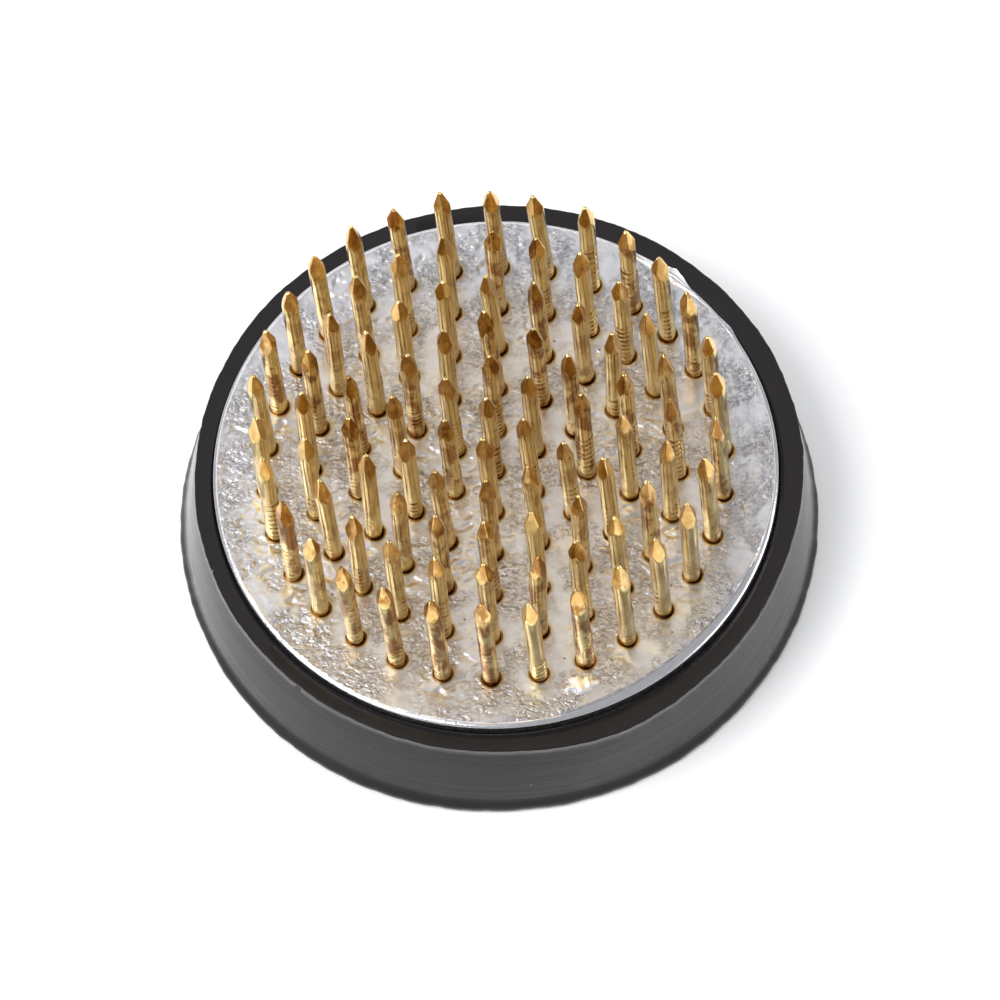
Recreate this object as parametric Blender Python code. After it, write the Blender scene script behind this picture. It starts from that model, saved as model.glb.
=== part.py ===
"""A round flower frog: a cast base set with upright brass wire nails, seated in a rubber ring.

Metres, +Z up. The origin is in the middle of the rubber ring, on the surface that the frog stands on.
One row of nails points along +Y, and each ring of nails is counted clockwise from there, seen from above.
"""

import math

import bmesh
import bpy

# Nail pattern: a centre nail, then ring k holds 6 * k nails at k times the pitch.
PITCH = 0.0045
NAIL_RINGS = 5
NAILS_PER_RING_STEP = 6
SEPARATE_RINGS = (4, 5)

# Wire nail: a flat head, a round shank and a four-sided cut point.
NAIL_LENGTH = 0.0254
SHANK_RADIUS = 0.000835
HEAD_RADIUS = 0.0015
HEAD_THICKNESS = 0.0007
POINT_LENGTH = 0.0035
NAIL_SIDES = 8

# Cast base: a disc with a through hole for each nail and a shallow recess under it for the heads.
BASE_RADIUS = 0.0278
BASE_TOP = 0.0118
BASE_BOTTOM = 0.0023
BASE_CHAMFER = 0.0004
NAIL_STANDS_PROUD = 0.0163
HOLE_RADIUS = 0.00105
RECESS_RADIUS = 0.0245
RECESS_CEILING = 0.0037
CUTTER_REACH = 0.001

# Rubber ring: a cone outside, a straight seat inside, and a ledge under the base.
RING_HEIGHT = 0.0109
RING_TOP_RADIUS = 0.0299
RING_BOTTOM_RADIUS = 0.0317
RING_FOOT_ROUND = 0.0005
RING_EDGE_ROUND = 0.0002
LEDGE_HEIGHT = 0.0020
LEDGE_RADIUS = 0.0242
SEAT_GAP = 0.0003

ROUND_SIDES = 72
SHARP_ANGLE = math.radians(30)

# Link bars, at head level, that hold the nails of one joined set together.
LINK_WIDTH = 0.0008
LINK_THICKNESS = 0.0004

NAIL_TIP = BASE_TOP + NAIL_STANDS_PROUD
HEAD_BOTTOM = NAIL_TIP - NAIL_LENGTH


def clear_scene():
    for obj in list(bpy.data.objects):
        bpy.data.objects.remove(obj, do_unlink=True)


def make_material(name, colour, roughness, metallic):
    material = bpy.data.materials.new(name)
    material.use_nodes = True
    shader = material.node_tree.nodes["Principled BSDF"]
    shader.inputs["Base Color"].default_value = (*colour, 1.0)
    shader.inputs["Roughness"].default_value = roughness
    shader.inputs["Metallic"].default_value = metallic
    return material


def mesh_from(name, bm, material):
    """Turns a bmesh into a smooth-shaded mesh with sharp corners."""
    bmesh.ops.recalc_face_normals(bm, faces=bm.faces)
    mesh = bpy.data.meshes.new(name)
    bm.to_mesh(mesh)
    bm.free()
    mesh.shade_smooth()
    mesh.set_sharp_from_angle(angle=SHARP_ANGLE)
    mesh.materials.append(material)
    return mesh


def place(name, mesh, location=(0.0, 0.0, 0.0), turn=0.0):
    obj = bpy.data.objects.new(name, mesh)
    obj.location = location
    obj.rotation_euler = (0.0, 0.0, turn)
    bpy.context.scene.collection.objects.link(obj)
    return obj


def as_helper(obj):
    """A helper shapes another object, and isn't a piece itself."""
    obj.hide_render = True
    obj.display_type = "WIRE"
    return obj


def circle_points(radius, z, sides):
    steps = [2 * math.pi * i / sides for i in range(sides)]
    return [(radius * math.cos(a), radius * math.sin(a), z) for a in steps]


def bridge(bm, lower, upper):
    """Joins two loops of the same length with a band of quads."""
    count = len(lower)
    for i in range(count):
        j = (i + 1) % count
        bm.faces.new((lower[i], lower[j], upper[j], upper[i]))


def quarter_round(centre_r, centre_z, radius, start_degrees, steps=3):
    """Points of a quarter circle in the profile plane, counter-clockwise."""
    points = []
    for i in range(steps + 1):
        angle = math.radians(start_degrees + 90 * i / steps)
        points.append((centre_r + radius * math.cos(angle), centre_z + radius * math.sin(angle)))
    return points


def turned_solid(name, profile, material, closed):
    """Turns (radius, z) points about Z. A closed profile makes a ring, and an open one gets end caps."""
    bm = bmesh.new()
    loops = [[bm.verts.new(p) for p in circle_points(r, z, ROUND_SIDES)] for r, z in profile]
    for lower, upper in zip(loops, loops[1:]):
        bridge(bm, lower, upper)
    if closed:
        bridge(bm, loops[-1], loops[0])
    else:
        bm.faces.new(loops[0])
        bm.faces.new(loops[-1])
    return mesh_from(name, bm, material)


def nail_mesh(material):
    """One nail standing on its head at the origin. Each facet of the point is a plane through the tip."""
    bm = bmesh.new()
    head_low = [bm.verts.new(p) for p in circle_points(HEAD_RADIUS, 0.0, NAIL_SIDES)]
    head_high = [bm.verts.new(p) for p in circle_points(HEAD_RADIUS, HEAD_THICKNESS, NAIL_SIDES)]
    shank_low = [bm.verts.new(p) for p in circle_points(SHANK_RADIUS, HEAD_THICKNESS, NAIL_SIDES)]
    shank_high = []
    for i, (x, y, _) in enumerate(circle_points(SHANK_RADIUS, 0.0, NAIL_SIDES)):
        below_tip = POINT_LENGTH if i % 2 == 0 else POINT_LENGTH * math.cos(math.pi / 4)
        shank_high.append(bm.verts.new((x, y, NAIL_LENGTH - below_tip)))
    tip = bm.verts.new((0.0, 0.0, NAIL_LENGTH))
    bm.faces.new(head_low)
    bridge(bm, head_low, head_high)
    bridge(bm, head_high, shank_low)
    bridge(bm, shank_low, shank_high)
    for i in range(0, NAIL_SIDES, 2):
        bm.faces.new((tip, shank_high[i - 1], shank_high[i], shank_high[i + 1]))
    return mesh_from("wire_nail", bm, material)


def ring_spots(ring):
    """The nails of one ring as (x, y, turn), clockwise from +Y."""
    count = max(1, NAILS_PER_RING_STEP * ring)
    spots = []
    for i in range(count):
        turn = 2 * math.pi * i / count
        spots.append((ring * PITCH * math.sin(turn), ring * PITCH * math.cos(turn), turn))
    return spots


def place_nail(name, mesh, spot):
    x, y, turn = spot
    return place(name, mesh, (x, y, HEAD_BOTTOM), -turn)


def link_bar(name, start, end, material):
    """A flat bar between two nail heads, inside the thickness of the heads."""
    length = math.dist(start[:2], end[:2])
    bm = bmesh.new()
    bmesh.ops.create_cube(bm, size=1.0)
    bmesh.ops.scale(bm, vec=(length, LINK_WIDTH, LINK_THICKNESS), verts=bm.verts)
    middle = ((start[0] + end[0]) / 2, (start[1] + end[1]) / 2, HEAD_BOTTOM + HEAD_THICKNESS / 2)
    direction = math.atan2(end[1] - start[1], end[0] - start[0])
    return place(name, mesh_from(name, bm, material), middle, direction)


def joined_nails(name, mesh, spots, links, material):
    """A set of nails made one body by link bars at their heads. links lists pairs of places in spots."""
    helpers = bpy.data.collections.new(name + "_helpers")
    bpy.context.scene.collection.children.link(helpers)
    extra = [place_nail(f"{name}_helper_{i}", mesh, spot) for i, spot in enumerate(spots[1:])]
    for i, (a, b) in enumerate(links):
        extra.append(link_bar(f"{name}_link_{i}", spots[a], spots[b], material))
    for obj in extra:
        bpy.context.scene.collection.objects.unlink(obj)
        helpers.objects.link(as_helper(obj))
    nails = place_nail(name, mesh.copy(), spots[0])
    union = nails.modifiers.new("join", "BOOLEAN")
    union.operation = "UNION"
    union.operand_type = "COLLECTION"
    union.collection = helpers
    return nails


def chain(count, closed):
    """Links from each nail of a row to the next."""
    return [(i, (i + 1) % count) for i in range(count if closed else count - 1)]


def make_nails(material):
    mesh = nail_mesh(material)
    centre, first, second, third = (ring_spots(ring) for ring in range(4))
    inner_links = [(0, 1)] + [(a + 1, b + 1) for a, b in chain(len(first), closed=True)]
    half = len(third) // 2
    joined_nails("centre_nails", mesh, centre + first, inner_links, material)
    joined_nails("ring_2_nails", mesh, second, chain(len(second), closed=True), material)
    joined_nails("ring_3_nails_right", mesh, third[:half], chain(half, closed=False), material)
    joined_nails("ring_3_nails_left", mesh, third[half:], chain(half, closed=False), material)
    for ring in SEPARATE_RINGS:
        for number, spot in enumerate(ring_spots(ring), start=1):
            place_nail(f"ring_{ring}_nail_{number:02d}", mesh, spot)


def add_hole_cutter(bm, spot):
    """A prism that goes right through the base where one nail stands."""
    x, y, turn = spot
    ends = []
    for z in (RECESS_CEILING - CUTTER_REACH, BASE_TOP + CUTTER_REACH):
        loop = []
        for i in range(NAIL_SIDES):
            angle = 2 * math.pi * i / NAIL_SIDES - turn
            point = (x + HOLE_RADIUS * math.cos(angle), y + HOLE_RADIUS * math.sin(angle), z)
            loop.append(bm.verts.new(point))
        bm.faces.new(loop)
        ends.append(loop)
    bridge(bm, *ends)


def make_base(material):
    top_edge = BASE_TOP - BASE_CHAMFER
    profile = [
        (RECESS_RADIUS, RECESS_CEILING),
        (RECESS_RADIUS, BASE_BOTTOM),
        (BASE_RADIUS, BASE_BOTTOM),
        (BASE_RADIUS, top_edge),
        (BASE_RADIUS - BASE_CHAMFER, BASE_TOP),
    ]
    base = place("base_casting", turned_solid("base_casting", profile, material, closed=False))
    bm = bmesh.new()
    spots = [spot for ring in range(NAIL_RINGS + 1) for spot in ring_spots(ring)]
    for spot in spots:
        add_hole_cutter(bm, spot)
    holes = as_helper(place("nail_holes", mesh_from("nail_holes", bm, material)))
    cut = base.modifiers.new("nail_holes", "BOOLEAN")
    cut.operation = "DIFFERENCE"
    cut.object = holes


def make_ring(material):
    seat_radius = BASE_RADIUS + SEAT_GAP
    foot_centre = (RING_BOTTOM_RADIUS - RING_FOOT_ROUND, RING_FOOT_ROUND)
    edge_centre = (RING_TOP_RADIUS - RING_EDGE_ROUND, RING_HEIGHT - RING_EDGE_ROUND)
    profile = [(LEDGE_RADIUS, 0.0)]
    profile += quarter_round(*foot_centre, RING_FOOT_ROUND, -90)
    profile += quarter_round(*edge_centre, RING_EDGE_ROUND, 0, steps=2)
    profile += [
        (seat_radius, RING_HEIGHT),
        (seat_radius, LEDGE_HEIGHT),
        (LEDGE_RADIUS, LEDGE_HEIGHT),
    ]
    place("rubber_ring", turned_solid("rubber_ring", profile, material, closed=True))


def main():
    clear_scene()
    make_ring(make_material("black_rubber", (0.035, 0.032, 0.032), 0.45, 0.0))
    make_base(make_material("plated_casting", (0.62, 0.61, 0.63), 0.35, 1.0))
    make_nails(make_material("brass_wire", (0.62, 0.42, 0.14), 0.25, 1.0))


main()
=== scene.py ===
"""The looks of a flower frog: cast disc, brass wire nails and rubber ring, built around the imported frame.

Every piece is a fine mesh with a procedural material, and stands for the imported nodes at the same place.
Lengths are in metres, and MM turns millimetres into metres. Angles round the disc run from +X towards +Y.
"""

import math
import random

import bpy
import numpy as np
from mathutils import Matrix, Vector, noise
from mathutils.geometry import delaunay_2d_cdt


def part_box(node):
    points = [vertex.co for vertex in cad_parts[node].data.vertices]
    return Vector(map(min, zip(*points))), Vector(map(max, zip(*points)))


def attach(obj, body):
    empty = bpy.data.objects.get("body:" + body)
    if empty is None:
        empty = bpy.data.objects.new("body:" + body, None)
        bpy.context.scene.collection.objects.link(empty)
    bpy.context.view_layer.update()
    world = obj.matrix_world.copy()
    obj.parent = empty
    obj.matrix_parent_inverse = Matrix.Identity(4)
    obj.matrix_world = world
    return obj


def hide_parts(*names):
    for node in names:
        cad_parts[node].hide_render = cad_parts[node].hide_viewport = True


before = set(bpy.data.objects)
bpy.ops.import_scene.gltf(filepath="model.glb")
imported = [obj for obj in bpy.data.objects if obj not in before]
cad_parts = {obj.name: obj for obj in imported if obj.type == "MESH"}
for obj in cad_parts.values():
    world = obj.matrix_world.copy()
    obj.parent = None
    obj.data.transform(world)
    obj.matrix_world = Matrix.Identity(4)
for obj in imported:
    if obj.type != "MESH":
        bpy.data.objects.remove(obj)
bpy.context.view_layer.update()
MM = 0.001

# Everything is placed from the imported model.
BASE_LOW, BASE_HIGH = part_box("base_casting")
RING_LOW, RING_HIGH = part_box("rubber_ring")
NAIL_LOW, NAIL_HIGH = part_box("ring_5_nail_01")
OUTER_NAIL_RING = 5
PITCH = (NAIL_LOW.y + NAIL_HIGH.y) / 2 / OUTER_NAIL_RING
BASE_RADIUS = BASE_HIGH.x
BASE_TOP = BASE_HIGH.z
FOOT_RADIUS = RING_HIGH.x
RING_TOP = RING_HIGH.z
HEAD_RADIUS = (NAIL_HIGH.y - NAIL_LOW.y) / 2
NAIL_BOTTOM = NAIL_LOW.z
NAIL_TIP = NAIL_HIGH.z

SHANK_RADIUS = 0.835 * MM
HOLE_RADIUS = 0.955 * MM
HOLE_SIDES = 28
RECESS_RADIUS = 24.5 * MM
RECESS_CEILING = 3.7 * MM

BODY_BLOCK = "pin_block"
BODY_RING = "rubber_ring"


# ---------------------------------------------------------------------------------------------- helpers


def smooth_step(low, high, value):
    t = np.clip((value - low) / (high - low), 0.0, 1.0)
    return t * t * (3 - 2 * t)


def noise_at(x, y, z=0.0):
    return noise.noise(Vector((x, y, z)))


def new_object(name, verts, faces, material):
    mesh = bpy.data.meshes.new(name)
    mesh.from_pydata([tuple(v) for v in verts], [], [tuple(f) for f in faces])
    mesh.validate()
    mesh.materials.append(material)
    mesh.polygons.foreach_set("use_smooth", [True] * len(mesh.polygons))
    obj = bpy.data.objects.new(name, mesh)
    bpy.context.scene.collection.objects.link(obj)
    return obj


class Shell:
    """The points and faces of one piece, added loop by loop, with one value kept for each point.

    first_corner is the corner that each quad of a band begins at, which settles how it is split in two.
    """

    def __init__(self, verts=(), faces=(), values=(), first_corner=0):
        self.first_corner = first_corner
        self.verts = list(verts)
        self.faces = list(faces)
        self.values = list(values)

    def loop(self, points, values=0.0):
        """Adds points and gives back their indices. values is one number, or a list with one for each."""
        start = len(self.verts)
        self.verts.extend(points)
        self.values.extend(values if isinstance(values, list) else [values] * len(points))
        return list(range(start, start + len(points)))

    def bridge(self, lower, upper):
        """Joins two loops of the same length with a band of quads."""
        count = len(lower)
        for i in range(count):
            j = (i + 1) % count
            quad = (lower[i], lower[j], upper[j], upper[i])
            self.faces.append(quad[self.first_corner:] + quad[:self.first_corner])


def point_attribute(obj, name, values):
    attribute = obj.data.attributes.new(name, "FLOAT", "POINT")
    attribute.data.foreach_set("value", np.asarray(values, np.float32))


def ring_spots(ring):
    """The nails of one ring as (x, y), clockwise from +Y."""
    count = max(1, 6 * ring)
    turns = [2 * math.pi * i / count for i in range(count)]
    return [(ring * PITCH * math.sin(t), ring * PITCH * math.cos(t)) for t in turns]


SPOTS = [spot for ring in range(OUTER_NAIL_RING + 1) for spot in ring_spots(ring)]


# -------------------------------------------------------------------------------------------- materials


class Nodes:
    """Short calls for building a node tree."""

    def __init__(self, name):
        self.material = bpy.data.materials.new(name)
        self.material.use_nodes = True
        self.tree = self.material.node_tree
        self.shader = self.tree.nodes["Principled BSDF"]

    def add(self, kind, **settings):
        node = self.tree.nodes.new(kind)
        for key, value in settings.items():
            setattr(node, key, value)
        return node

    def link(self, source, target):
        self.tree.links.new(source, target)

    def value(self, node_input, value):
        if isinstance(value, (int, float)):
            node_input.default_value = value
        else:
            self.link(value, node_input)

    def position(self, scale=(1, 1, 1), rotation=(0, 0, 0)):
        """Object coordinates in millimetres, stretched by scale."""
        coordinates = self.add("ShaderNodeTexCoord")
        mapping = self.add("ShaderNodeMapping")
        mapping.inputs["Scale"].default_value = [s / MM for s in scale]
        mapping.inputs["Rotation"].default_value = rotation
        self.link(coordinates.outputs["Object"], mapping.inputs["Vector"])
        return mapping.outputs["Vector"]

    def noise(self, vector, scale, detail=3.0, roughness=0.5, distortion=0.0):
        node = self.add("ShaderNodeTexNoise")
        self.link(vector, node.inputs["Vector"])
        node.inputs["Scale"].default_value = scale
        node.inputs["Detail"].default_value = detail
        node.inputs["Roughness"].default_value = roughness
        node.inputs["Distortion"].default_value = distortion
        return node.outputs["Fac"]

    def specks(self, vector, scale, size):
        """1 inside small separate spots and 0 elsewhere."""
        node = self.add("ShaderNodeTexVoronoi")
        self.link(vector, node.inputs["Vector"])
        node.inputs["Scale"].default_value = scale
        return self.ramp(node.outputs["Distance"], [(size * 0.6, 1.0), (size, 0.0)])

    def ramp(self, source, stops):
        """Maps a value through (position, level) stops."""
        node = self.add("ShaderNodeValToRGB")
        self.link(source, node.inputs["Fac"])
        elements = node.color_ramp.elements
        while len(elements) < len(stops):
            elements.new(0.5)
        for element, (at, level) in zip(elements, stops):
            element.position = at
            colour = (level, level, level) if isinstance(level, (int, float)) else level
            element.color = (*colour, 1.0)
        return node.outputs["Color"]

    def math(self, operation, a, b=0.0):
        node = self.add("ShaderNodeMath", operation=operation)
        self.value(node.inputs[0], a)
        self.value(node.inputs[1], b)
        return node.outputs["Value"]

    def mix(self, factor, a, b, blend="MIX"):
        """Mixes two colours, each a socket or an (r, g, b)."""
        node = self.add("ShaderNodeMix", data_type="RGBA", blend_type=blend)
        self.value(node.inputs[0], factor)
        for node_input, colour in ((node.inputs[6], a), (node.inputs[7], b)):
            if isinstance(colour, tuple):
                node_input.default_value = (*colour, 1.0)
            else:
                self.link(colour, node_input)
        return node.outputs[2]

    def attribute(self, name):
        return self.add("ShaderNodeAttribute", attribute_name=name).outputs["Fac"]

    def bump(self, height, distance_mm, strength):
        node = self.add("ShaderNodeBump")
        node.inputs["Strength"].default_value = strength
        node.inputs["Distance"].default_value = distance_mm * MM
        self.link(height, node.inputs["Height"])
        return node.outputs["Normal"]

    def set(self, **inputs):
        for name, value in inputs.items():
            socket = self.shader.inputs[name.replace("_", " ")]
            if isinstance(value, tuple):
                socket.default_value = (*value, 1.0)
            elif isinstance(value, (int, float)):
                socket.default_value = value
            else:
                self.link(value, socket)


def brass_material():
    """Drawn brass wire: bright, with fine lines along the shank, brown stains, mottled cut facets, and
    painted shade in the grip-mark notches.
    """
    m = Nodes("brass_wire")
    drawn = m.noise(m.position((7.0, 7.0, 0.3)), 1.0, detail=2.0)
    cloud = m.noise(m.position((0.7, 0.7, 0.35)), 1.0, detail=3.0, roughness=0.6)
    stain = m.ramp(cloud, [(0.46, 0.0), (0.58, 1.0)])
    specks = m.specks(m.position((1.0, 1.0, 0.6)), 0.75, 0.16)
    tarnish = m.math("MULTIPLY", m.math("MAXIMUM", stain, specks), m.attribute("tarnish"))
    mottle = m.ramp(m.noise(m.position((1.6, 1.6, 0.8)), 1.0, detail=2.0), [(0.36, 0.0), (0.60, 1.0)])
    facet = m.mix(mottle, (0.90, 0.64, 0.25), (0.70, 0.38, 0.11))
    colour = m.mix(drawn, (0.86, 0.665, 0.28), (0.91, 0.715, 0.325))
    colour = m.mix(m.math("MULTIPLY", m.attribute("cut_face"), 0.75), colour, facet)
    colour = m.mix(tarnish, colour, (0.38, 0.17, 0.04))
    # Painted shade: dark brown in the grip-mark notches, stronger where a notch is deeper.
    colour = m.mix(m.attribute("painted_notch_shade"), colour, (0.34, 0.17, 0.06))
    m.set(Base_Color=colour, Metallic=1.0, Roughness=0.21)
    return m.material


def casting_material():
    """Plated casting: silver, half glossy, gritty in patches, with brown stains round the holes, painted
    shade in the holes, hollows, crinkle slopes, blotches, grit and pits, and a painted highlight on the rim
    bead.
    """
    m = Nodes("plated_casting")
    patches = m.ramp(m.noise(m.position(), 0.24, detail=2.0), [(0.40, 0.1), (0.58, 1.0)])
    cells = m.noise(m.position((1.0, 1.35, 1.0)), 1.9, detail=2.0, distortion=0.3)
    crinkle = m.ramp(cells, [(0.40, 0.0), (0.60, 1.0)])
    painted_curl_shadow = m.ramp(m.math("ABSOLUTE", m.math("SUBTRACT", cells, 0.49)), [(0.015, 1.0), (0.075, 0.0)])
    broken = m.ramp(m.noise(m.position(), 1.1, detail=1.0), [(0.46, 0.0), (0.58, 1.0)])
    painted_blotch_shade = m.noise(m.position((1.0, 1.3, 1.0)), 1.4, detail=4.0, roughness=0.65)
    painted_blotch_shade = m.ramp(painted_blotch_shade, [(0.36, 1.0), (0.56, 0.0)])
    skin = m.math("MULTIPLY", patches, m.attribute("skin"))
    grit = m.noise(m.position((1.0, 1.2, 1.0)), 2.5, detail=2.0, roughness=0.6)
    grit = m.math("MULTIPLY", m.ramp(grit, [(0.38, 1.0), (0.52, 0.0)]), skin)
    painted_curl_shadow = m.math("MULTIPLY", m.math("MULTIPLY", painted_curl_shadow, broken), skin)
    painted_hollow_shade = m.math("MULTIPLY", m.math("SUBTRACT", 1.0, crinkle), skin)
    grain = m.noise(m.position(), 1.0, detail=3.0)
    cloud = m.noise(m.position(), 0.22, detail=3.0)
    pits = m.specks(m.position(), 0.42, 0.07)
    height = m.math("ADD", m.math("MULTIPLY", crinkle, patches), grain)
    height = m.math("SUBTRACT", height, m.math("MULTIPLY", grit, 0.45))
    height = m.math("SUBTRACT", height, m.math("MULTIPLY", pits, 0.9))
    height = m.math("MULTIPLY", height, m.attribute("skin"))
    colour = m.mix(cloud, (0.53, 0.52, 0.53), (0.62, 0.61, 0.63))
    # Painted shade: the colour is darker where the crinkled skin is low.
    colour = m.mix(m.math("MULTIPLY", painted_hollow_shade, 0.20), colour, (0.25, 0.24, 0.26))
    # Painted shade: dark blotches stand in for the shading of small dents.
    painted_blotch_shade = m.math("MULTIPLY", painted_blotch_shade, skin)
    colour = m.mix(m.math("MULTIPLY", painted_blotch_shade, 0.62), colour, (0.23, 0.22, 0.24))
    # Painted shadow: thin dark lines along the slopes of the crinkles.
    colour = m.mix(m.math("MULTIPLY", painted_curl_shadow, 0.55), colour, (0.17, 0.16, 0.175))
    # Painted shade: darker where the grit and pits dip the bump.
    colour = m.mix(m.math("MULTIPLY", grit, 0.45), colour, (0.21, 0.20, 0.21))
    colour = m.mix(m.math("MULTIPLY", pits, 0.8), colour, (0.16, 0.15, 0.16))
    # Painted highlight: the rim bead, with little skin, is lifted towards light grey; the splash, with
    # little skin too, gets the same lift.
    rim = m.math("MULTIPLY", m.math("SUBTRACT", 1.0, m.attribute("skin")), 0.7)
    colour = m.mix(rim, colour, (0.80, 0.79, 0.82))
    bright = m.attribute("bright")
    colour = m.mix(bright, colour, (0.92, 0.95, 1.0))
    stain = m.attribute("stain")
    colour = m.mix(m.math("MULTIPLY", stain, 0.85), colour, (0.46, 0.36, 0.18))
    # Painted shade: dark brown on the hole walls and mouths, where stain is close to 1.
    colour = m.mix(m.ramp(stain, [(0.90, 0.0), (1.0, 0.9)]), colour, (0.28, 0.14, 0.055))
    rough = m.ramp(grain, [(0.3, 0.29), (0.8, 0.37)])
    rough = m.math("SUBTRACT", rough, m.math("MULTIPLY", rim, 0.15))
    rough = m.math("ADD", rough, m.math("MULTIPLY", bright, 0.08))
    m.set(Base_Color=colour, Metallic=1.0, Roughness=rough, Normal=m.bump(height, 0.046, 0.85))
    return m.material


def rubber_material():
    """Black rubber: satin cone with faint streaks round it, duller flat top, and a few specks of dust."""
    m = Nodes("black_rubber")
    streaks = m.noise(m.position((0.07, 0.07, 1.3), (0.05, 0.03, 0)), 1.0, detail=4.0, roughness=0.7)
    grain = m.noise(m.position(), 5.0, detail=2.0)
    smudge = m.noise(m.position((0.2, 0.2, 0.4)), 1.0, detail=3.0)
    dust = m.specks(m.position(), 0.30, 0.035)
    colour = m.mix(smudge, (0.0035, 0.003, 0.0033), (0.007, 0.006, 0.0065))
    colour = m.mix(m.math("MULTIPLY", dust, 0.4), colour, (0.30, 0.29, 0.29))
    rough = m.ramp(streaks, [(0.32, 0.08), (0.70, 0.19)])
    rough = m.math("ADD", rough, m.math("MULTIPLY", m.attribute("flat_top"), 0.22))
    height = m.math("ADD", streaks, m.math("MULTIPLY", grain, 0.10))
    m.set(Base_Color=colour, Roughness=rough, IOR=1.35, Normal=m.bump(height, 0.05, 0.7))
    m.set(Specular_Tint=(1.0, 0.93, 0.96), Sheen_Weight=0.18, Sheen_Roughness=0.3)
    return m.material


def floor_material():
    m = Nodes("pale_floor")
    cloud = m.noise(m.position(), 0.01, detail=2.0)
    m.set(Base_Color=m.mix(cloud, (0.94, 0.94, 0.94), (0.96, 0.96, 0.96)), Roughness=0.6)
    return m.material


# ------------------------------------------------------------------------------------------ cast base


RIM_SIDES = 540
SURFACE_STEP = 0.21 * MM
SURFACE_DROP = 0.10 * MM
CEILING_STEP = 1.6 * MM
SIDE_SKIN_DEPTH = 1.3 * MM
RIM_SKIN = 0.12
# The lip round each hole, as share of the hole's radius and height in mm.
HOLE_LIPS = ((1.0, -0.10), (1.05, -0.02), (1.14, 0.035), (1.26, 0.03), (1.45, 0.0))
# The tapered wall of each hole, as share of the hole's radius and depth in mm.
HOLE_WALLS = ((0.95, 0.18), (0.90, 0.32), (0.88, 1.2))
# Middle and half size of the splash of brighter metal, in mm.
SPLASH = (8.7, -23.1)
SPLASH_SIZE = (1.75, 1.0)


def hump(degrees, centre, spread):
    """1 at the centre angle and 0 beyond the spread, with a smooth fall between."""
    away = abs((degrees - centre + 180) % 360 - 180)
    return float(1 - smooth_step(0.0, 1.0, away / spread))


def rim_strip_width(angle):
    """Width of the bead round the disc: wide at the front right and at the back right, thin elsewhere."""
    degrees = math.degrees(angle) % 360
    wide = max(hump(degrees, 312, 50), 0.35 * hump(degrees, 272, 30), 0.7 * hump(degrees, 54, 14))
    uneven = noise_at(math.cos(angle) * 7, math.sin(angle) * 7, 3.0)
    return (0.44 + 0.60 * wide + 0.06 * uneven) * MM


def surface_edge(angle):
    """Radius where the disc's top ends and the rim begins."""
    return BASE_RADIUS - rim_strip_width(angle)


def flash_width(angle):
    """How far the thin casting flash at the back right stands out past the rim."""
    degrees = math.degrees(angle) % 360
    ragged = 1.0 + 0.35 * noise_at(degrees * 0.5, 3.1) + 0.25 * noise_at(degrees * 1.7, 8.3)
    return (0.72 * hump(degrees, 52, 5.5) + 0.20 * hump(degrees, 35, 4)) * ragged * MM


def dent(u, v, seed, edge):
    """1 on the bottom of an irregular dent and 0 on the level skin between dents."""
    return float(smooth_step(edge, edge + 0.28, noise_at(u, v, seed)))


def splash_share(u, v):
    """1 on the splash of brighter metal near the front edge, and 0 elsewhere."""
    tilt = 0.15 * (u - SPLASH[0])
    along = (u - SPLASH[0]) / SPLASH_SIZE[0]
    across = (v - SPLASH[1] - tilt) / SPLASH_SIZE[1]
    away = math.hypot(along, across) + 0.50 * noise_at(u * 1.4, v * 1.4, 7.0)
    return float(1 - smooth_step(0.62, 0.95, away))


def surface_height(x, y):
    """The cast skin in metres: level patches with small dents, low swells, fine grain and one splash."""
    u, v = x / MM, y / MM
    warp = 0.35 * noise_at(u * 0.8, v * 0.8, 12.0)
    swell = 0.05 * noise_at(u * 0.20, v * 0.26, 1.7) + 0.03 * noise_at(u * 0.5, v * 0.75, 21.0)
    patch = float(smooth_step(-0.25, 0.20, noise_at(u * 0.17, v * 0.17, 5.5)))
    front_right = hump(math.degrees(math.atan2(v, u)), 315, 75)
    calm = 1 - 0.8 * front_right * float(smooth_step(19, 26, math.hypot(u, v)))
    dents = 0.080 * dent(u * 0.85 + warp, v * 1.35, 4.2, 0.02)
    dents += 0.060 * dent(u * 1.4, v * 2.1 + warp, 9.4, 0.05)
    grain = 0.012 * noise_at(u * 2.0, v * 2.6, 15.0)
    height = swell + (0.2 + 0.8 * patch) * calm * (grain - dents)
    height += splash_share(u, v) * (0.12 + 0.09 * noise_at(u * 1.3, v * 1.3, 3.0))
    return height * MM


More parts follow.
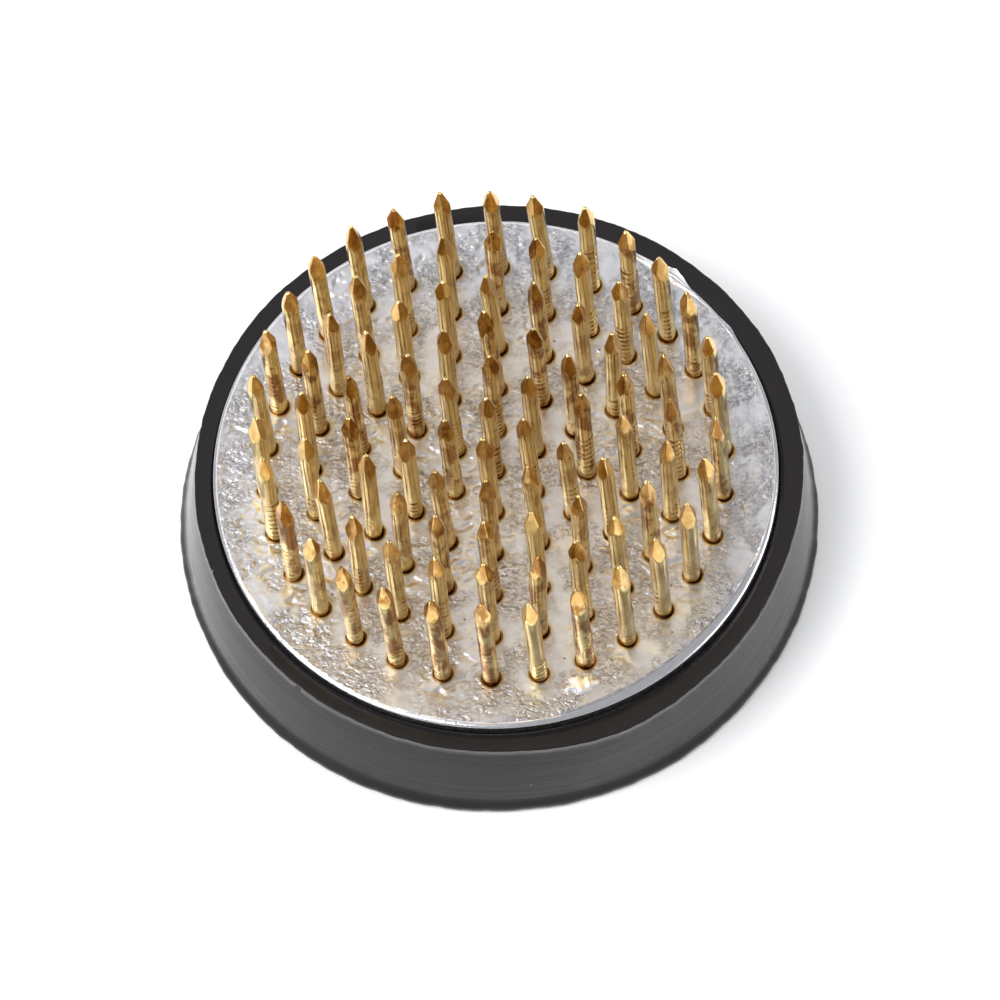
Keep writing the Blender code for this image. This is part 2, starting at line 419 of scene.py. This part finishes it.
def plate(edge_radius, step, lips, seed):
    """A flat disc with a hole at each nail, as 2D points, triangles, the edge loop and each hole's loop."""
    points, edges, hole_loops = [], [], []

    def loop(coords, constrain):
        start = len(points)
        points.extend(coords)
        count = len(coords)
        if constrain:
            edges.extend((start + i, start + (i + 1) % count) for i in range(count))
        return list(range(start, start + count))

    angles = [2 * math.pi * i / RIM_SIDES for i in range(RIM_SIDES)]
    edge_loop = loop([(edge_radius(a) * math.cos(a), edge_radius(a) * math.sin(a)) for a in angles], True)
    turns = [2 * math.pi * i / HOLE_SIDES for i in range(HOLE_SIDES)]
    for x, y in SPOTS:
        for number, lip in enumerate(lips):
            radius = lip * HOLE_RADIUS
            made = loop([(x + radius * math.cos(t), y + radius * math.sin(t)) for t in turns], number == 0)
            if number == 0:
                hole_loops.append(made)
    rng = np.random.default_rng(seed)
    outer = max(edge_radius(a) for a in angles)
    rows = np.arange(-outer, outer, step * 0.866)
    columns = np.arange(-outer, outer, step)
    grid = np.array([(x + (i % 2) * step / 2, y) for i, y in enumerate(rows) for x in columns])
    grid += rng.uniform(-0.18, 0.18, grid.shape) * step
    radius_at = np.array([edge_radius(a) for a in np.arctan2(grid[:, 1], grid[:, 0])])
    keep = np.hypot(grid[:, 0], grid[:, 1]) < radius_at - 0.6 * step
    for x, y in SPOTS:
        keep &= np.hypot(grid[:, 0] - x, grid[:, 1] - y) > lips[-1] * HOLE_RADIUS + 0.5 * step
    points.extend(map(tuple, grid[keep]))

    out = delaunay_2d_cdt([Vector(p) for p in points], edges, [], 0, 1e-9)
    flat = np.array([tuple(v) for v in out[0]])
    triangles = np.array(out[2])
    place = {}
    for index, sources in enumerate(out[3]):
        for source in sources:
            place[source] = index
    middle = flat[triangles].mean(axis=1)
    solid = np.ones(len(triangles), bool)
    for x, y in SPOTS:
        solid &= np.hypot(middle[:, 0] - x, middle[:, 1] - y) > 0.985 * HOLE_RADIUS * lips[0]
    triangles = triangles[solid]
    a, b, c = (flat[triangles[:, i]] for i in range(3))
    turn = (b[:, 0] - a[:, 0]) * (c[:, 1] - a[:, 1]) - (b[:, 1] - a[:, 1]) * (c[:, 0] - a[:, 0])
    triangles[turn < 0] = triangles[turn < 0][:, ::-1]
    return flat, triangles, [place[i] for i in edge_loop], [[place[i] for i in h] for h in hole_loops]


def rim_profile(angle):
    """The rim at one angle as (radius, height): groove, rounded bead, flash, side and foot."""
    degrees = math.degrees(angle)
    width = rim_strip_width(angle)
    flash = flash_width(angle)
    inner = BASE_RADIUS - width
    torn = hump(degrees, 53, 14)
    ridge = 0.06 * MM * torn * (1 + noise_at(degrees * 0.6, 1.1))
    ridge += 0.04 * MM * hump(degrees, 34, 4)
    wave = 0.03 * MM * noise_at(math.cos(angle) * 8, math.sin(angle) * 8, 2.0)
    broad = float(smooth_step(0.55, 0.85, width / MM))
    groove = broad * (1 - torn)
    level = BASE_TOP - SURFACE_DROP * (1 - broad)
    edge = level - 0.06 * MM - 0.20 * (width - 0.40 * MM) - wave
    return (
        (inner + 0.05 * MM, level - (0.19 * groove + 0.08 * torn) * MM),
        (inner + (0.10 + 0.05 * torn) * MM, level - (0.15 * groove + 0.03 * torn) * MM),
        (inner + (0.16 + 0.14 * torn) * MM, level - 0.005 * MM + broad * wave + ridge),
        (inner + (0.5 + 0.08 * torn) * (width - 0.02 * MM), (level + edge) / 2),
        (BASE_RADIUS - 0.18 * MM + 0.7 * flash, edge - 0.1 * flash),
        (BASE_RADIUS - 0.08 * MM + 0.85 * flash, edge + (0.09 * torn - 0.06) * MM),
        (BASE_RADIUS - 0.02 * MM + flash, edge - 0.15 * MM - 0.1 * flash),
        (BASE_RADIUS + 0.3 * flash, edge - 0.32 * MM - 0.2 * flash),
        (BASE_RADIUS, BASE_TOP - SIDE_SKIN_DEPTH),
        (BASE_RADIUS, BASE_LOW.z + 0.3 * MM),
        (BASE_RADIUS - 0.3 * MM, BASE_LOW.z),
        (RECESS_RADIUS, BASE_LOW.z),
    )


def cast_surface():
    """The top of the disc as a Shell whose values are the stain round the holes, which near 1 also paints
    shade into the hole mouths, with its open loops.
    """
    lips = [share for share, _ in HOLE_LIPS]
    flat, triangles, edge, holes = plate(surface_edge, SURFACE_STEP, lips, 11)
    nearest = np.full(len(flat), 1.0)
    for x, y in SPOTS:
        nearest = np.minimum(nearest, np.hypot(flat[:, 0] - x, flat[:, 1] - y))
    share = nearest / HOLE_RADIUS
    lip_height = np.interp(share, lips, [h * MM for _, h in HOLE_LIPS])
    hole_fade = smooth_step(1.0, 1.6, share)
    to_rim = BASE_RADIUS - 0.5 * MM - np.hypot(flat[:, 0], flat[:, 1])
    rim_fade = smooth_step(0.0, 0.9 * MM, to_rim)
    swell = np.array([surface_height(x, y) for x, y in flat])
    swell *= (0.3 + 0.7 * hole_fade) * (0.35 + 0.65 * rim_fade)
    height = BASE_TOP - SURFACE_DROP + lip_height + swell
    verts = [(x, y, z) for (x, y), z in zip(flat, height)]
    stain = 1 - smooth_step(1.02, 1.5, share)
    shell = Shell(verts, [tuple(t) for t in triangles], stain, first_corner=3)
    return shell, edge, holes


def add_rim(shell, edge):
    """Closes the surface with the rim, the side and the foot, and gives back the foot's inner loop."""
    angles = [2 * math.pi * i / RIM_SIDES for i in range(RIM_SIDES)]
    profiles = [rim_profile(a) for a in angles]
    last = edge
    for row in range(len(profiles[0])):
        points = []
        for a, profile in zip(angles, profiles):
            radius, z = profile[row]
            points.append((radius * math.cos(a), radius * math.sin(a), z))
        made = shell.loop(points)
        shell.bridge(made, last)
        last = made
    return last


def add_recess(shell, foot, holes):
    """Adds the recess's ceiling, seen from below, and the tapered hole walls between it and the top."""
    under, triangles, edge, low_holes = plate(lambda a: RECESS_RADIUS, CEILING_STEP, [1.0], 12)
    shift = shell.loop([(x, y, RECESS_CEILING) for x, y in under])[0]
    shell.faces.extend(tuple(int(i) + shift for i in t[::-1]) for t in triangles)
    shell.bridge([i + shift for i in edge], foot)
    for (x, y), top_loop, low_loop in zip(SPOTS, holes, low_holes):
        upper = top_loop
        for share, depth in HOLE_WALLS:
            z = BASE_TOP - depth * MM
            top = [shell.verts[i] for i in top_loop]
            # Value 1 gives the walls the stain and the dark brown painted shade of the holes.
            wall = shell.loop([((vx - x) * share + x, (vy - y) * share + y, z) for vx, vy, _ in top], 1.0)
            shell.bridge(upper, wall)
            upper = wall
        shell.bridge(upper, [i + shift for i in low_loop])


def make_casting():
    """The disc: rough top, lipped holes that go right through, a beaded rim with some flash, and recess."""
    shell, edge, holes = cast_surface()
    top_count = len(shell.verts)
    add_recess(shell, add_rim(shell, edge), holes)

    # Splash and skin are 1 where they are full. The rim has little skin, which gives it a painted
    # highlight, and more of it at the front left, where that painted highlight is weaker.
    splash = [splash_share(x / MM, y / MM) for x, y, _ in shell.verts[:top_count]]
    skin = [1 - share for share in splash]
    for x, y, z in shell.verts[top_count:]:
        front_left = hump(math.degrees(math.atan2(y, x)), 228, 48)
        skin.append(1.0 if z <= BASE_TOP - SIDE_SKIN_DEPTH else RIM_SKIN + 0.45 * front_left)
    splash += [0.0] * (len(shell.verts) - top_count)

    casting = new_object("cast_disc", shell.verts, shell.faces, casting_material())
    # stain holds the brown stain round the holes and the painted shade inside them.
    point_attribute(casting, "stain", shell.values)
    point_attribute(casting, "bright", splash)
    point_attribute(casting, "skin", skin)
    casting.data.set_sharp_from_angle(angle=math.radians(60))
    return casting


# ------------------------------------------------------------------------------------------------ nails


# Each quarter of the shank has seven points, and two of them stand on either side of the ridge.
SIDES_PER_QUARTER = 7
NAIL_SIDES = 4 * SIDES_PER_QUARTER
BEFORE_RIDGE, AFTER_RIDGE = 3, 4
POINT_LENGTH = 3.9 * MM
TIP_RADIUS = 0.22 * MM
RIDGE_BEVEL = 0.06
TIP_BEVEL = 0.25
HEAD_THICKNESS = 0.7 * MM
HEAD_CHAMFER = 0.1 * MM
MARK_DEPTH = 0.12 * MM
DIE_LINES = 0.0010 * MM
DEPTH_CHOICES = (0.4, 0.9, 1.3, 1.8)
NARROW_CHOICES = (0.0, 0.45, 0.8)
TARNISH_CHOICES = (0.15, 0.4, 0.65, 0.95)
COMMON_LEAN = Vector((-0.0305, 0.0))
LEAN_SPREAD = 0.012


def nail_angles(facets):
    """Angles round the shank. Facet i faces i quarter turns, and each ridge has an angle on either side."""
    angles = []
    for i in range(4):
        ridge = math.atan2(facets[i], facets[(i + 1) % 4])
        rest = math.pi / 2 - ridge
        steps = [0, ridge / 3, ridge * 2 / 3, ridge - RIDGE_BEVEL]
        steps += [ridge + RIDGE_BEVEL, ridge + rest / 3, ridge + rest * 2 / 3]
        angles.extend(i * math.pi / 2 + step for step in steps)
    return angles


def make_nail(name, spot, material, rng):
    """One nail standing in its hole: flat head, shank with grip marks, four cut facets and a blunt tip."""
    length = NAIL_TIP - NAIL_BOTTOM
    pair = [POINT_LENGTH * rng.uniform(0.85, 1.2) for _ in range(2)]
    facets = [pair[i % 2] * rng.uniform(0.88, 1.14) for i in range(4)]
    angles = nail_angles(facets)
    step = rng.uniform(0.76, 1.04) * MM
    marks_start = BASE_TOP - NAIL_BOTTOM - rng.uniform(0.2, 1.4) * MM
    marks = rng.randint(5, 9)
    marks_end = marks_start + marks * step
    strengths = [rng.uniform(0.35, 1.0) for _ in range(marks + 1)]
    mark_side = rng.uniform(0, math.pi)
    mark_depth = MARK_DEPTH * rng.choice(DEPTH_CHOICES)
    narrow = rng.choice(NARROW_CHOICES)
    die = [rng.uniform(-DIE_LINES, DIE_LINES) for _ in angles]

    def facet_drop(angle):
        """How far below the point's apex the facets meet the shank at this angle."""
        return max(facet * math.cos(angle - i * math.pi / 2) for i, facet in enumerate(facets))

    apex = length + max(facets) * 0.6 * TIP_RADIUS / SHANK_RADIUS
    shell = Shell()

    def circle(radius, z):
        return [(radius * math.cos(a), radius * math.sin(a), z) for a in angles]

    head = (
        (HEAD_RADIUS, HEAD_CHAMFER),
        (HEAD_RADIUS, HEAD_THICKNESS - HEAD_CHAMFER),
        (HEAD_RADIUS - HEAD_CHAMFER, HEAD_THICKNESS),
        (SHANK_RADIUS, HEAD_THICKNESS),
    )
    last = shell.loop(circle(HEAD_RADIUS - HEAD_CHAMFER, 0.0))
    shell.faces.append(tuple(reversed(last)))
    for radius, z in head:
        made = shell.loop(circle(radius, z))
        shell.bridge(last, made)
        last = made
    levels = [HEAD_THICKNESS + 0.02 * MM, marks_start - 0.3 * MM]
    levels += list(np.arange(marks_start, marks_end, step / 10)) + [marks_end + 0.3 * MM]
    levels += list(np.linspace(marks_end + 1.0 * MM, apex - max(facets) - 0.2 * MM, 4))
    for z in levels:
        phase = (z - marks_start) / step
        inside = 0 <= phase <= marks
        notch = 0.0
        if inside:
            notch = (0.5 + 0.5 * math.cos(2 * math.pi * phase)) ** 4 * strengths[round(phase)]
        points, notch_shade = [], []
        for a, line in zip(angles, die):
            toward = abs(math.cos(a - mark_side + 0.12 * math.sin(phase * 9)))
            facing = max(0.0, toward - narrow) / (1 - narrow)
            radius = SHANK_RADIUS + line + mark_depth * facing * (0.3 * inside - notch)
            points.append((radius * math.cos(a), radius * math.sin(a), z))
            # The value kept for each point is how deep the grip notch is there, which the material turns
            # into painted shade.
            notch_shade.append(notch * facing * mark_depth / MARK_DEPTH)
        made = shell.loop(points, notch_shade)
        shell.bridge(last, made)
        last = made
    shank_end = zip(angles, circle(SHANK_RADIUS, apex))
    cut = shell.loop([(x, y, z - facet_drop(a)) for a, (x, y, z) in shank_end])
    shell.bridge(last, cut)
    first_cut_face = len(shell.faces)

    # Four flat facets with a narrow bevel on each ridge between them, then the blunt tip.
    tip_points = []
    for i in range(4):
        ridge = i * math.pi / 2 + math.atan2(facets[i], facets[(i + 1) % 4])
        for a in (ridge - TIP_BEVEL, ridge + TIP_BEVEL):
            drop = facet_drop(a) * TIP_RADIUS / SHANK_RADIUS
            tip_points.append((TIP_RADIUS * math.cos(a), TIP_RADIUS * math.sin(a), apex - drop))
    tip = shell.loop(tip_points)
    for i in range(4):
        previous = (i - 1) % 4
        start = previous * SIDES_PER_QUARTER + AFTER_RIDGE
        arc = [cut[(start + k) % NAIL_SIDES] for k in range(SIDES_PER_QUARTER)]
        shell.faces.append((*arc, tip[2 * i], tip[2 * previous + 1]))
        before = cut[i * SIDES_PER_QUARTER + BEFORE_RIDGE]
        after = cut[i * SIDES_PER_QUARTER + AFTER_RIDGE]
        shell.faces.append((before, after, tip[2 * i + 1], tip[2 * i]))
    last_cut_face = len(shell.faces)
    top = min(z for _, _, z in tip_points) + 0.11 * MM
    dome = shell.loop([(0.6 * x, 0.6 * y, max(z, top - 0.03 * MM)) for x, y, z in tip_points])
    shell.bridge(tip, dome)
    middle = shell.loop([(0.0, 0.0, top + 0.02 * MM)])[0]
    shell.faces.extend((dome[i], dome[(i + 1) % len(dome)], middle) for i in range(len(dome)))

    # Stand it in its hole: turned, leaning a little, and resting against the back left of the hole.
    spin = Matrix.Rotation(rng.uniform(0, 2 * math.pi), 3, "Z")
    lean_x = COMMON_LEAN.x + rng.gauss(0, LEAN_SPREAD)
    lean_y = COMMON_LEAN.y + rng.gauss(0, LEAN_SPREAD)
    x0 = spot[0] + rng.uniform(-0.08, 0.0) * MM
    y0 = spot[1] + rng.uniform(-0.02, 0.07) * MM
    pivot = BASE_TOP - NAIL_BOTTOM
    sink = rng.uniform(-0.35, 0.1) * MM
    placed = []
    for v in shell.verts:
        p = spin @ Vector(v)
        above = max(p.z - pivot, -2.0 * MM)
        z = NAIL_BOTTOM + p.z + sink * (p.z / length)
        placed.append((x0 + p.x + lean_x * above, y0 + p.y + lean_y * above, z))
    nail = new_object(name, placed, shell.faces, material)
    flat = [first_cut_face <= i < last_cut_face for i in range(len(nail.data.polygons))]
    nail.data.polygons.foreach_set("use_smooth", [not f for f in flat])
    cut_face = nail.data.attributes.new("cut_face", "FLOAT", "FACE")
    cut_face.data.foreach_set("value", [float(f) for f in flat])
    # These values paint shade into the grip-mark notches.
    point_attribute(nail, "painted_notch_shade", shell.values)
    point_attribute(nail, "tarnish", [rng.choice(TARNISH_CHOICES)] * len(placed))
    return nail


def make_nails():
    material = brass_material()
    rng = random.Random(91)
    half = len(ring_spots(3)) // 2
    for ring in range(OUTER_NAIL_RING + 1):
        for number, spot in enumerate(ring_spots(ring), start=1):
            nail = make_nail(f"nail_{ring}_{number:02d}", spot, material, rng)
            if ring >= 4:
                node = f"ring_{ring}_nail_{number:02d}"
            elif ring == 3:
                node = "ring_3_nails_right" if number <= half else "ring_3_nails_left"
            else:
                node = "ring_2_nails" if ring == 2 else "centre_nails"
            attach(nail, BODY_BLOCK)
            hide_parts(node)


# ------------------------------------------------------------------------------------------ rubber ring


RUBBER_SIDES = 540
LEDGE_RADIUS = 24.2 * MM
SEAT_RADIUS = 27.9 * MM
TOP_RADIUS = 29.9 * MM
RUBBER_SHIFT = 0.30 * MM
BEVEL_TOP_MM = 10.88


def edge_bulge(angle):
    """The stretched rubber's top edge isn't quite round."""
    degrees = math.degrees(angle)
    uneven = 0.10 * noise_at(math.cos(angle) * 3, math.sin(angle) * 3, 8.0)
    return (0.45 * hump(degrees, 293, 26) - 0.25 * hump(degrees, 340, 26) + uneven) * MM


def make_rubber():
    """The ring: flat top with a bevelled inner edge, cone side, flared foot and inner ledge."""
    outline = [  # radius, height in mm, share of the top edge's shift and bulge
        (LEDGE_RADIUS, 2.0, 0),
        (LEDGE_RADIUS, 0.15, 0),
        (LEDGE_RADIUS + 0.15 * MM, 0.0, 0),
        (FOOT_RADIUS - 0.55 * MM, 0.0, 0),
        (FOOT_RADIUS - 0.20 * MM, 0.06, 0),
        (FOOT_RADIUS - 0.06 * MM, 0.22, 0),
        (FOOT_RADIUS, 0.45, 0),
        (FOOT_RADIUS, 0.80, 0),
        (FOOT_RADIUS - 0.06 * MM, 1.05, 0.05),
        (FOOT_RADIUS - 0.26 * MM, 1.35, 0.1),
        (FOOT_RADIUS - 0.48 * MM, 1.70, 0.15),
        (FOOT_RADIUS - 0.62 * MM, 2.3, 0.2),
        (FOOT_RADIUS - 0.80 * MM, 4.0, 0.3),
        (FOOT_RADIUS - 1.02 * MM, 5.4, 0.45),
        (FOOT_RADIUS - 1.20 * MM, 6.8, 0.6),
        (FOOT_RADIUS - 1.45 * MM, 8.4, 0.75),
        (TOP_RADIUS + 0.08 * MM, 9.8, 0.9),
        (TOP_RADIUS - 0.03 * MM, 10.56, 1),
        (TOP_RADIUS + 0.04 * MM, 10.70, 1),
        (TOP_RADIUS + 0.04 * MM, 10.82, 1),
        (TOP_RADIUS - 0.04 * MM, 10.90, 1),
    ]
    flat_top = [(TOP_RADIUS - 0.25 * MM, 10.89, 1)]
    bevel = [
        (SEAT_RADIUS + 0.75 * MM, BEVEL_TOP_MM, 0.3),
        (SEAT_RADIUS + 0.66 * MM, BEVEL_TOP_MM - 0.04, 0.2),
        (SEAT_RADIUS + 0.12 * MM, BEVEL_TOP_MM - 0.43, 0),
        (SEAT_RADIUS, BEVEL_TOP_MM - 0.58, 0),
    ]
    rows = outline + flat_top + bevel + [(SEAT_RADIUS, 2.0, 0)]
    top_edge_rows = range(len(outline) - 4, len(outline))
    flat_top_rows = range(len(outline) - 1, len(rows) - 2)
    bevel_rows = range(len(outline) + len(flat_top), len(rows) - 1)
    shell = Shell()
    loops = []
    for row, (radius, z_mm, share) in enumerate(rows):
        foot = float(1 - smooth_step(0.9, 3.0, z_mm)) if radius > SEAT_RADIUS else 0.0
        points = []
        for i in range(RUBBER_SIDES):
            a = 2 * math.pi * i / RUBBER_SIDES
            slow = noise_at(math.cos(a) * 2.2, math.sin(a) * 2.2, 0.5)
            quick = noise_at(math.cos(a) * 15, math.sin(a) * 15, 6.5 + 0.3 * z_mm)
            nick = noise_at(math.cos(a) * 45, math.sin(a) * 45, 2.5)
            r = radius
            z = z_mm
            if row in bevel_rows:
                size = 0.25 + 0.75 * hump(math.degrees(a), 285, 125)
                r = SEAT_RADIUS + (radius - SEAT_RADIUS) * size
                z = BEVEL_TOP_MM - (BEVEL_TOP_MM - z_mm) * size
            r += foot * (0.10 * slow + 0.09 * quick + 0.05 * nick - 0.10) * MM + share * edge_bulge(a)
            if row in top_edge_rows:
                r += (0.05 * quick + 0.06 * nick) * MM
            points.append((r * math.cos(a) + share * RUBBER_SHIFT, r * math.sin(a), z * MM))
        loops.append(shell.loop(points, float(row in flat_top_rows)))
    for lower, upper in zip(loops, loops[1:] + loops[:1]):
        shell.bridge(lower, upper)
    ring = new_object("rubber_band", shell.verts, shell.faces, rubber_material())
    point_attribute(ring, "flat_top", shell.values)
    ring.data.set_sharp_from_angle(angle=math.radians(40))
    return ring


# --------------------------------------------------------------------------- floor, lights and camera


def make_floor():
    verts = [(-2, -2, 0), (2, -2, 0), (2, 2, 0), (-2, 2, 0)]
    floor = new_object("floor", verts, [(0, 1, 2, 3)], floor_material())


def area_light(name, azimuth, elevation, distance, size, power):
    """A soft box that faces the object from the given direction. Azimuth 0 is behind the camera."""
    light = bpy.data.lights.new(name, "AREA")
    light.shape = "RECTANGLE"
    light.size, light.size_y = size
    light.energy = power
    a, e = math.radians(azimuth), math.radians(elevation)
    direction = Vector((math.sin(a) * math.cos(e), -math.cos(a) * math.cos(e), math.sin(e)))
    obj = bpy.data.objects.new(name, light)
    obj.location = direction * distance
    obj.rotation_euler = direction.to_track_quat("Z", "Y").to_euler()
    bpy.context.scene.collection.objects.link(obj)


def make_lights():
    world = bpy.data.worlds.new("studio")
    world.use_nodes = True
    world.node_tree.nodes["Background"].inputs["Color"].default_value = (0.95, 0.97, 1.0, 1.0)
    world.node_tree.nodes["Background"].inputs["Strength"].default_value = 0.48
    bpy.context.scene.world = world
    area_light("key_left", -68, 54, 0.9, (0.7, 0.6), 7.5)
    area_light("ceiling_back_left", -160, 66, 0.9, (0.5, 0.4), 0.6)
    area_light("fill_right", 88, 28, 1.0, (0.6, 0.5), 5.0)
    area_light("back_strip", -165, 36, 0.9, (1.2, 0.16), 1.3)
    area_light("low_left", -52, 12, 0.9, (0.5, 0.25), 1.9)


CAMERA_TURN = math.radians(-4.43)
CAMERA_ELEVATION = math.radians(63.73)
CAMERA_ROLL = math.radians(-3.73)
CAMERA_DISTANCE = 225.3 * PITCH
CAMERA_LENS = 371.9
AIM_RIGHT, AIM_UP = 0.096 * PITCH, -0.646 * PITCH


def make_camera():
    """Looks at the middle of the disc's top from above the front, with the frame's small roll."""
    forward = Vector((
        math.sin(CAMERA_TURN) * math.cos(CAMERA_ELEVATION),
        math.cos(CAMERA_TURN) * math.cos(CAMERA_ELEVATION),
        -math.sin(CAMERA_ELEVATION),
    ))
    level = Vector((math.cos(CAMERA_TURN), -math.sin(CAMERA_TURN), 0.0))
    above = level.cross(forward)
    right = level * math.cos(CAMERA_ROLL) + above * math.sin(CAMERA_ROLL)
    up = above * math.cos(CAMERA_ROLL) - level * math.sin(CAMERA_ROLL)
    data = bpy.data.cameras.new("camera")
    data.lens = CAMERA_LENS
    data.sensor_width = 36.0
    data.clip_start = 0.01
    camera = bpy.data.objects.new("camera", data)
    place = Vector((0, 0, BASE_TOP)) - forward * CAMERA_DISTANCE + right * AIM_RIGHT + up * AIM_UP
    camera.matrix_world = Matrix.Translation(place) @ Matrix((right, up, -forward)).transposed().to_4x4()
    bpy.context.scene.collection.objects.link(camera)
    bpy.context.scene.camera = camera


def main():
    make_camera()
    make_lights()
    make_floor()
    casting = make_casting()
    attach(casting, BODY_BLOCK)
    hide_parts("base_casting")
    rubber = make_rubber()
    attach(rubber, BODY_RING)
    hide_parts("rubber_ring")
    make_nails()
    bpy.context.scene.view_settings.view_transform = "Standard"


main()
